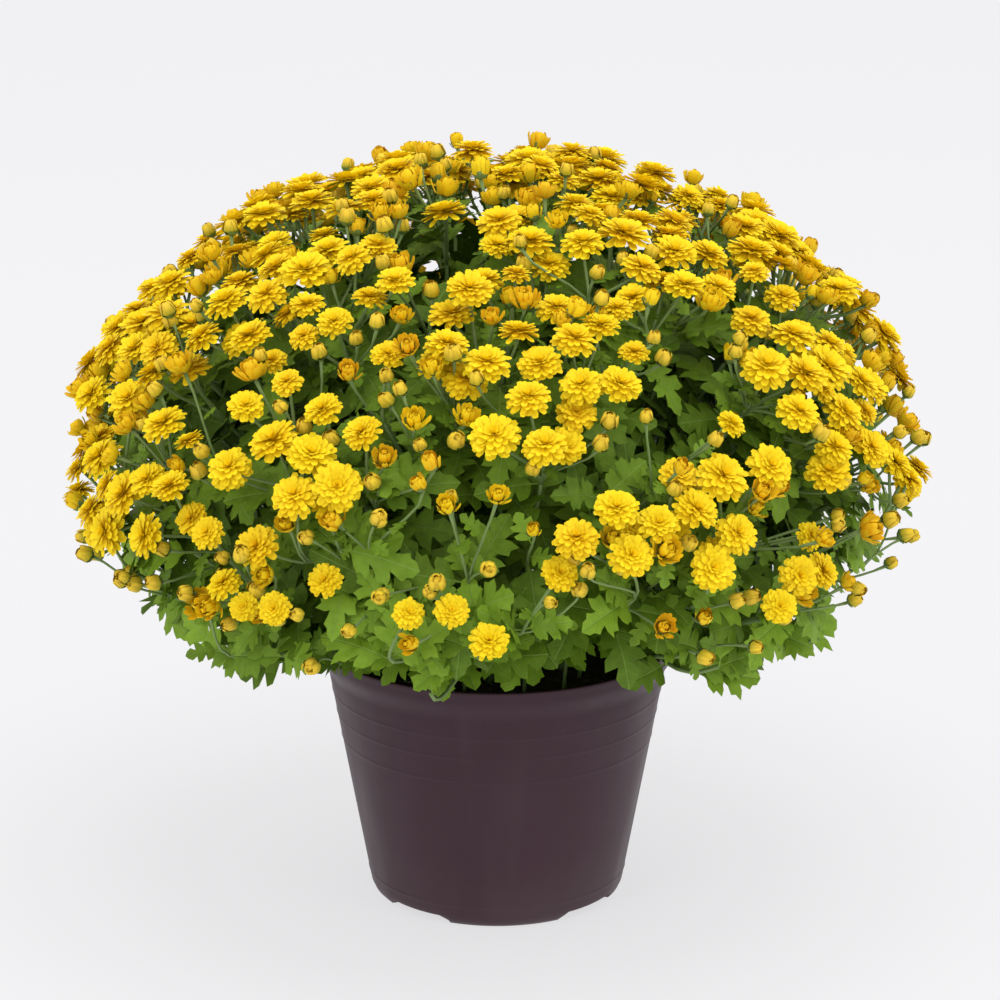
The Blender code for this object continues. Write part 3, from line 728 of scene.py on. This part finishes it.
def flower_heads(sector):
    """Makes the blooms, cups and buds of a stem. Gives (foot, axis, radius, kind) of each for its stalk."""
    draw = random.Random(300 + sector.index)
    large = bloom_places(sector)
    small = small_places(sector, large, draw)
    cluster = Gathered()
    feet = []
    for middle, axis, radius, _ in large:
        lean = Vector((draw.gauss(0, 0.18), draw.gauss(0, 0.18), draw.uniform(0.2, 0.9)))
        axis = (axis + lean).normalized()
        middle = middle - axis * draw.uniform(0.0, HEAD_SINK)
        scale = radius * draw.uniform(*HEAD_SIZES)
        spot = np.array(middle - axis * 0.12 * radius)
        form = draw.choice(OPEN_BLOOMS)
        cluster.add(form, turned_to(axis, draw.uniform(0, 6), scale), spot, draw.uniform(0, 0.25))
        feet.append((middle - axis * (0.12 * radius + HEAD_FOOT["open"] * scale), axis, scale, "open"))
    for middle, axis, radius, kind in small:
        tint = {"open": draw.uniform(0.0, 0.4), "opening": draw.uniform(0.3, 1.0), "bud": 2.0}[kind]
        form = draw.choice(FORMS[kind])
        cluster.add(form, turned_to(axis, draw.uniform(0, 6), radius), np.array(middle), tint)
        feet.append((middle - axis * HEAD_FOOT[kind] * radius, axis, radius, kind))
    blooms = cluster.piece(f"flower_heads_{sector.index + 1:02d}", petals)
    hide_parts(f"blooms_{sector.index + 1:02d}")
    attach(blooms, "root")
    return feet


directions = sector_directions()
sectors = [Sector(i, directions) for i in range(STEM_COUNT)]
heads = {sector.index: flower_heads(sector) for sector in sectors}


# The leafy stems
# Each stem rises from the soil, branches under the canopy, and carries a stalk to each bloom and bud. Its
# lobed leaves are soft and matt, with toothed edges and sunken veins, and the lowest hang out over the rim.

BRANCHES = 11
BRANCH_REACH = 0.020, 0.055
BRANCH_ENDS = 0.70, 0.88
MAIN_RADII = 0.0031, 0.0018
BRANCH_RADII = 0.0016, 0.0012
SHOOT_RADII = 0.0014, 0.0010
STALK_RADII = {"open": 0.00105, "opening": 0.0009, "bud": 0.0008}
STALK_FLARE = (1.1, 1, 1, 1, 1, 1.5)
RIM_SHOOTS = 18
RIM_LEAF_REACH = 0.119
LEAF_LENGTHS = 0.030, 0.046
INNER_DEPTH = 0.065
LEAF_EDGE = (
    (0.00, 0.012, 0.00), (0.17, 0.018, 0.14), (0.24, 0.090, 0.18), (0.265, 0.205, 0.21),
    (0.35, 0.295, 0.24), (0.385, 0.262, 0.27), (0.465, 0.315, 0.30), (0.485, 0.215, 0.34),
    (0.462, 0.105, 0.40), (0.545, 0.190, 0.44), (0.590, 0.310, 0.47), (0.655, 0.288, 0.51),
    (0.735, 0.345, 0.55), (0.742, 0.215, 0.60), (0.712, 0.118, 0.66), (0.790, 0.160, 0.71),
    (0.850, 0.200, 0.76), (0.885, 0.130, 0.82), (0.945, 0.112, 0.90), (1.00, 0.0, 0.985),
)
LEAF_SWELL = 0.04
SMALL_EDGE = tuple(LEAF_EDGE[i] for i in (0, 1, 3, 4, 6, 8, 10, 12, 14, 16, 18, 19))


def leaf(edge, droop, fold, wave, seed, inner):
    """A leaf of length 1 along X: strips from the midrib out to the lobed edge, arched down to the tip.

    The edge gives (along, half width, where along the midrib the strip starts) of each of its points.
    """
    draw = random.Random(seed)
    phase = draw.uniform(0, 6)
    bend = draw.gauss(0, 0.06)
    columns = (0.0, 0.5, 1.0) if inner else (0.0, 1.0)
    points, place, faces = [], [], []
    for side in (-1, 1):
        start = len(points)
        for u, v, root in edge:
            v = v * draw.uniform(0.92, 1.08)
            for share in columns:
                x = root + (u - root) * share
                y = side * v * share
                z = -droop * x * x + fold * abs(y) + wave * math.sin(17 * x + phase + side) * abs(y)
                z += LEAF_SWELL * v if share == 0.5 else 0.0
                points.append((x, y + bend * x * x, z))
                place.append((x, y, share))
        wide = len(columns)
        for row in range(len(edge) - 1):
            for column in range(wide - 1):
                i = start + row * wide + column
                corners = (i, i + wide, i + wide + 1, i + 1)
                faces.append(corners if side > 0 else corners[::-1])
    return np.array(points), np.array(faces).ravel(), np.full(len(faces), 4), np.array(place)


LARGE_ARCHES = ((0.08, 0.20), (0.22, 0.10), (0.35, 0.25), (0.55, -0.10), (0.75, 0.15), (0.15, -0.15))
SMALL_ARCHES = ((0.05, 0.25), (0.20, 0.10), (0.40, 0.20), (0.10, -0.10))
LARGE_LEAVES = [leaf(LEAF_EDGE, *arch, 0.10, 60 + i, i % 2 == 0) for i, arch in enumerate(LARGE_ARCHES)]
SMALL_LEAVES = [leaf(SMALL_EDGE, *arch, 0.08, 80 + i, False) for i, arch in enumerate(SMALL_ARCHES)]


def tube_form(path, radii, sides):
    """A round stem through the points of a path."""
    path = np.array([tuple(point) for point in path])
    ahead = np.gradient(path, axis=0)
    ahead /= np.linalg.norm(ahead, axis=1)[:, None]
    side = np.cross(ahead, np.where(abs(ahead[:, 2:]) > 0.9, [[1.0, 0, 0]], [[0, 0, 1.0]]))
    side /= np.linalg.norm(side, axis=1)[:, None]
    for k in range(1, len(side)):
        carried = side[k - 1] - ahead[k] * (side[k - 1] @ ahead[k])
        side[k] = carried / np.linalg.norm(carried)
    other = np.cross(ahead, side)
    turns = np.arange(sides) * math.tau / sides
    ring = np.cos(turns)[None, :, None] * side[:, None] + np.sin(turns)[None, :, None] * other[:, None]
    points = (path[:, None] + ring * np.array(radii)[:, None, None]).reshape(-1, 3)
    loops, sizes = tube_faces(len(path), sides)
    place = np.tile([[0.0, 0.0, 2.0]], (len(points), 1))
    return points, loops, sizes, place


def add_tube(green, path, radii, sides, tint):
    """Adds a round stem to the green of a piece."""
    green.add(tube_form(path, radii, sides), np.eye(3), np.zeros(3), tint)


def curve(start, start_way, end, end_way, steps, pull=0.38):
    """Points of a smooth curve that leaves one point in a direction and arrives at another in a direction."""
    reach = (end - start).length * pull
    a, b = start + start_way.normalized() * reach, end - end_way.normalized() * reach
    path = []
    for k in range(steps + 1):
        t = k / steps
        path.append(start * (1 - t) ** 3 + a * 3 * t * (1 - t) ** 2 + b * 3 * t * t * (1 - t) + end * t**3)
    return path


def set_leaf(green, draw, root, outward, face, length, droopy, tint, small):
    """Adds one leaf that grows from root."""
    outward = outward.normalized()
    across = face.cross(outward).normalized()
    face = outward.cross(across)
    forms = SMALL_LEAVES if small else LARGE_LEAVES[2:4] if droopy else LARGE_LEAVES
    turned = np.array([outward, across, face]).T * length
    green.add(draw.choice(forms), turned, np.array(root), tint)


def sepals(seed, count, length, width, rise, fall):
    """The green cup under a bloom of radius 1: a ring of narrow scales."""
    draw = random.Random(seed)
    form = ([], [], [])
    petal_ring(form, count, length, width, 0.04, rise, fall, 0.0, draw, 0.12)
    points, loops, sizes, place = finished(form)
    place = place.copy()
    place[:, 2] = 2.0
    return points, loops, sizes, place


SEPALS = {
    "open": sepals(90, 6, 0.32, 0.30, 0.35, 0.12),
    "opening": sepals(91, 7, 0.90, 0.50, -0.10, 1.30),
    "bud": sepals(92, 7, 1.00, 0.58, 0.15, 0.98),
}

foliage = Finish("foliage")
spot = foliage.node("ShaderNodeAttribute", {"attribute_name": "place"}, {}, "Vector")
along = foliage.part(spot, 0)
aside = foliage.node("ShaderNodeMath", {"operation": "ABSOLUTE"}, {0: foliage.part(spot, 1)})
woody = foliage.band(foliage.part(spot, 2), 1.4, 1.6)
tint = foliage.node("ShaderNodeAttribute", {"attribute_name": "tint"}, {}, "Fac")
mottle = foliage.noise(160, 4)
fuzz = foliage.noise(900, 2)
wave = foliage.node("ShaderNodeMath", {"operation": "PINGPONG"}, {0: along - aside * 0.75, 1: 0.055})
vein = foliage.band(wave, 0.010, 0.0) * foliage.band(aside, 0.34, 0.10) * 0.6
rib = foliage.band(aside, 0.016, 0.004)
veins = foliage.node("ShaderNodeMath", {"operation": "MAXIMUM"}, {0: vein, 1: rib}) * (1 - woody)
dark = foliage.mix(foliage.band(mottle, 0.3, 0.7), (0.066, 0.130, 0.004), (0.108, 0.200, 0.008))
light = foliage.mix(foliage.band(mottle, 0.3, 0.7), (0.190, 0.335, 0.012), (0.245, 0.410, 0.028))
# The tint picks between the dark and the light green. On the leaves it carries painted shade deep in the bush
# and painted light by height, besides random tone.
blade = foliage.mix(tint, dark, light)
blade = foliage.mix(veins * 0.40, blade, (0.25, 0.39, 0.09))
stalk = foliage.mix(tint, (0.135, 0.225, 0.055), (0.24, 0.34, 0.12))
foliage.surface(
    Base_Color=foliage.mix(woody, blade, stalk),
    Roughness=0.50 + fuzz * 0.18,
    Normal=foliage.bump(mottle * 0.4 + fuzz * 0.15 - veins, 0.5, 0.0006),
    Specular_IOR_Level=0.25,
)


def main_stem(sector):
    """The path of the main stem, up out of the soil and out along the sector's axis."""
    foot = sector.foot + UP * (SOIL_TOP - 0.006)
    fork = sector.at(max(LOWER_BRANCHING, (0.115 + 0.030) / sector.reach))
    end = sector.at(UPPER_BRANCHING)
    lower = curve(foot, UP + sector.axis * 0.3, fork, sector.axis, 8)
    return lower + curve(fork, sector.axis, end, sector.axis, 4)[1:]


def grow_branches(green, draw, sector, main):
    """Adds the branches with their leaves. Gives (point, way) of the places that carry stalks."""
    tips = []
    for k in range(BRANCHES):
        turn = k * GOLDEN_ANGLE + sector.index
        root = main[4 + k % 7]
        reach = draw.uniform(*BRANCH_REACH)
        tip = sector.at(draw.uniform(*BRANCH_ENDS), sector.sideways(reach, turn))
        if tip.z < 0.190 or sector.room(tip) < -0.010:
            continue
        way = (tip - root).normalized()
        path = curve(root, way + sector.sideways(0.5, turn), tip, sector.axis + UP * 0.2, 7)
        if any(point.z < 0.184 and math.hypot(point.x, point.y) > 0.096 for point in path):
            continue
        add_tube(green, path, np.linspace(*BRANCH_RADII, 8), 5, 0.5)
        tips += [(path[step], path[step] - path[step - 1]) for step in range(4, 8)]
        for step in range(2, 8):
            grow_leaves(green, draw, sector, path[step], path[step] - path[step - 1], 1 + step % 2)
    return tips


def grow_stalk(green, draw, head, tips):
    """Adds the stalk of one bloom, cup or bud, with the green cup under it and small leaves along it."""
    middle, axis, radius, kind = head
    below = middle - axis * 0.035
    near, way = min(tips, key=lambda tip: (tip[0] - below).length + 2 * max(0.0, (tip[0] - below).dot(axis)))
    path = curve(near, way, middle, axis + (middle - near).normalized() * 0.5, 5, 0.32)
    add_tube(green, path, [STALK_RADII[kind] * flare for flare in STALK_FLARE], 5, draw.uniform(0.4, 0.9))
    green.add(SEPALS[kind], turned_to(axis, draw.uniform(0, 6), radius), np.array(middle), 0.4)
    for step in (1, 3) if kind == "opening" else (2,):
        side = axis.orthogonal()
        side.rotate(Matrix.Rotation(draw.uniform(0, math.tau), 3, axis))
        outward = side + (path[step + 1] - path[step]).normalized() * 0.8
        length, tint = draw.uniform(0.012, 0.022), draw.uniform(0.2, 0.7)
        set_leaf(green, draw, path[step], outward, axis, length, False, tint, True)


def leafy_stem(sector):
    """One stem with its branches, stalks, green cups and leaves."""
    draw = random.Random(700 + sector.index)
    green = Gathered()
    main = main_stem(sector)
    add_tube(green, main, np.linspace(*MAIN_RADII, len(main)), 8, 0.35)
    tips = [(main[-1], sector.axis)] + grow_branches(green, draw, sector, main)
    for head in heads[sector.index]:
        grow_stalk(green, draw, head, tips)
    for step in range(4, len(main)):
        grow_leaves(green, draw, sector, main[step], main[step] - main[step - 1], 2)
    for turn in rim_turns[sector.index]:
        rim_shoot(green, draw, turn)
    leaves = green.piece(f"stem_and_leaves_{sector.index + 1:02d}", foliage)
    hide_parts(f"leafy_stem_{sector.index + 1:02d}")
    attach(leaves, "root")


def grow_leaves(green, draw, sector, root, way, count):
    """Adds leaves round a point of a stem, out of the pot's way and turned up to the light."""
    low = sector.polar > SPARSE
    way = way.normalized()
    deep = canopy_reach(root - CROWN) - (root - CROWN).length > INNER_DEPTH
    placed = 0
    for _ in range(count * 6):
        if placed == count:
            return
        side = way.orthogonal()
        side.rotate(Matrix.Rotation(draw.uniform(0, math.tau), 3, way))
        out = Vector((root.x, root.y, 0)).normalized()
        outward = side + way * draw.uniform(0.2, 0.9) + out * 0.25 - UP * (0.35 if low else 0.0)
        length = draw.uniform(*LEAF_LENGTHS)
        tip = root + outward.normalized() * length
        under = min(root.z, tip.z - 0.3 * length)
        if under < max(0.150, (0.145 if draw.random() < 0.8 else 0.130) - 0.32 * tip.y):
            continue
        if under < 0.178 and min(math.hypot(tip.x, tip.y), math.hypot(root.x, root.y)) < RIM_LEAF_REACH:
            continue
        if (tip - CROWN).length > canopy_reach(tip - CROWN) - (0.006 if low else 0.011):
            continue
        face = out * draw.uniform(0.3, 1.0) + sector.axis * 0.5 + UP * draw.uniform(0.2, 0.9) - side * 0.3
        # Painted shade and light: leaves deep inside the bush get a dark tint, as painted shade. The others
        # get a lighter tint low on the bush and a darker one near its top, as painted light.
        tint = draw.uniform(0.0, 0.3) if deep else draw.uniform(0.2, 0.8) + (0.2 if root.z < 0.27 else -0.1)
        tint = min(1.0, max(0.0, tint))
        droopy = low and draw.random() < 0.5
        set_leaf(green, draw, root, outward, face, length, droopy, tint, deep)
        placed += 1


def rim_shoot(green, draw, turn):
    """A short shoot from the soil near the wall of the pot, whose leaves hang out over the rim."""
    out = Vector((math.cos(turn), math.sin(turn), 0))
    aside = Vector((-out.y, out.x, 0))
    root = out * draw.uniform(0.070, 0.085) + UP * 0.150
    tip = out * draw.uniform(0.096, 0.110) + UP * draw.uniform(0.192, 0.208)
    path = curve(root, UP + out * 0.1, tip, out + UP * 0.2, 6)
    add_tube(green, path, np.linspace(*SHOOT_RADII, 7), 5, 0.5)
    for lean in (-0.9, 0.0, 0.9):
        outward = out + aside * (lean + draw.gauss(0, 0.2)) - UP * draw.uniform(0.05, 0.48)
        length, tint = draw.uniform(0.028, 0.042), draw.uniform(0.5, 1.0)
        set_leaf(green, draw, tip, outward, UP + out * 0.4, length, True, tint, False)
    for lean in (-0.7, 0.7):
        outward = UP * 0.9 + out * 0.7 + aside * (lean + draw.gauss(0, 0.3))
        length, tint = draw.uniform(0.030, 0.042), draw.uniform(0.3, 0.8)
        set_leaf(green, draw, path[4], outward, out + UP * 0.5, length, False, tint, False)


rim_turns = {sector.index: [] for sector in sectors}
for k in range(RIM_SHOOTS):
    turn = math.tau * (k + 0.4 * math.sin(9 * k)) / RIM_SHOOTS
    out = Vector((math.cos(turn), math.sin(turn), 0.3))
    rim_turns[max(sectors, key=lambda sector: sector.axis.dot(out)).index].append(turn)
for sector in sectors:
    leafy_stem(sector)


# The fallen leaf
# A leaf of the plant that has dried and faded to a pale grey green. It dropped from a low stem, and lies
# loose on the soil at the front, with its tip towards the wall of the pot.

FALLEN_ROOT = Vector((-0.058, -0.066, 0.1605))
FALLEN_TIP = Vector((-0.024, -0.084, 0.1640))
FALLEN_FACE = Vector((0.10, -0.25, 0.95))

dry_leaf = Finish("dry_leaf")
mottle = dry_leaf.noise(300, 4)
dry_leaf.surface(
    Base_Color=dry_leaf.mix(dry_leaf.band(mottle, 0.35, 0.65), (0.30, 0.33, 0.17), (0.50, 0.50, 0.32)),
    Roughness=0.7 + mottle * 0.2,
    Normal=dry_leaf.bump(mottle, 0.6, 0.0006),
)
outward = (FALLEN_TIP - FALLEN_ROOT).normalized()
across = FALLEN_FACE.cross(outward).normalized()
turned = np.array([outward, across, outward.cross(across)]).T * (FALLEN_TIP - FALLEN_ROOT).length
fallen = Gathered()
fallen.add(LARGE_LEAVES[1], turned, np.array(FALLEN_ROOT), 0.5)
fallen_leaf = fallen.piece("fallen_leaf", dry_leaf)
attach(fallen_leaf, "root")


# The floor, the light and the camera
# A pale, smooth surface that glows a little of itself, so that the pot hardly shades it, under three soft
# lamps and an even white surround. The camera stands 3 m away with a long lens, and looks down on the plant.

FLOOR_SIZE = 40.0
CAMERA_DISTANCE = 3.0
CAMERA_ELEVATION = math.radians(17.6)
LOOK_AT = Vector((0.002, 0.0, 0.258))
LENS = 171.6
SURROUND = 0.94

paper = Finish("paper")
paper.surface(
    Base_Color=(0.22, 0.22, 0.224),
    Roughness=0.9,
    Specular_IOR_Level=0.0,
    Emission_Color=(0.985, 0.98, 1.0),
    Emission_Strength=0.66,
)
bpy.ops.mesh.primitive_plane_add(size=FLOOR_SIZE)
floor = bpy.context.object
floor.name = "floor"
floor.data.materials.append(paper.material)

world = bpy.data.worlds.new("studio")
bpy.context.scene.world = world
world.use_nodes = True
world.node_tree.nodes["Background"].inputs["Color"].default_value = (1.0, 1.0, 1.0, 1)
world.node_tree.nodes["Background"].inputs["Strength"].default_value = SURROUND


def lamp(name, spot, size, power):
    """A square soft box that faces the plant."""
    light = bpy.data.lights.new(name, "AREA")
    light.size = size
    light.energy = power
    obj = bpy.data.objects.new(name, light)
    obj.location = spot
    obj.rotation_euler = (Vector(spot) - LOOK_AT).to_track_quat("Z", "Y").to_euler()
    bpy.context.scene.collection.objects.link(obj)


lamp("overhead", (0.3, -0.6, 3.0), 2.2, 30)
lamp("front_left", (-2.0, -2.2, 1.6), 1.4, 14)
lamp("front_right", (2.2, -1.6, 1.3), 1.4, 10)

back = Vector((0, -math.cos(CAMERA_ELEVATION), math.sin(CAMERA_ELEVATION)))
camera_data = bpy.data.cameras.new("camera")
camera_data.lens = LENS
camera_data.clip_end = 100.0
camera = bpy.data.objects.new("camera", camera_data)
camera.location = LOOK_AT + back * CAMERA_DISTANCE
camera.rotation_euler = back.to_track_quat("Z", "Y").to_euler()
bpy.context.scene.collection.objects.link(camera)
bpy.context.scene.camera = camera
bpy.context.scene.view_settings.view_transform = "Standard"
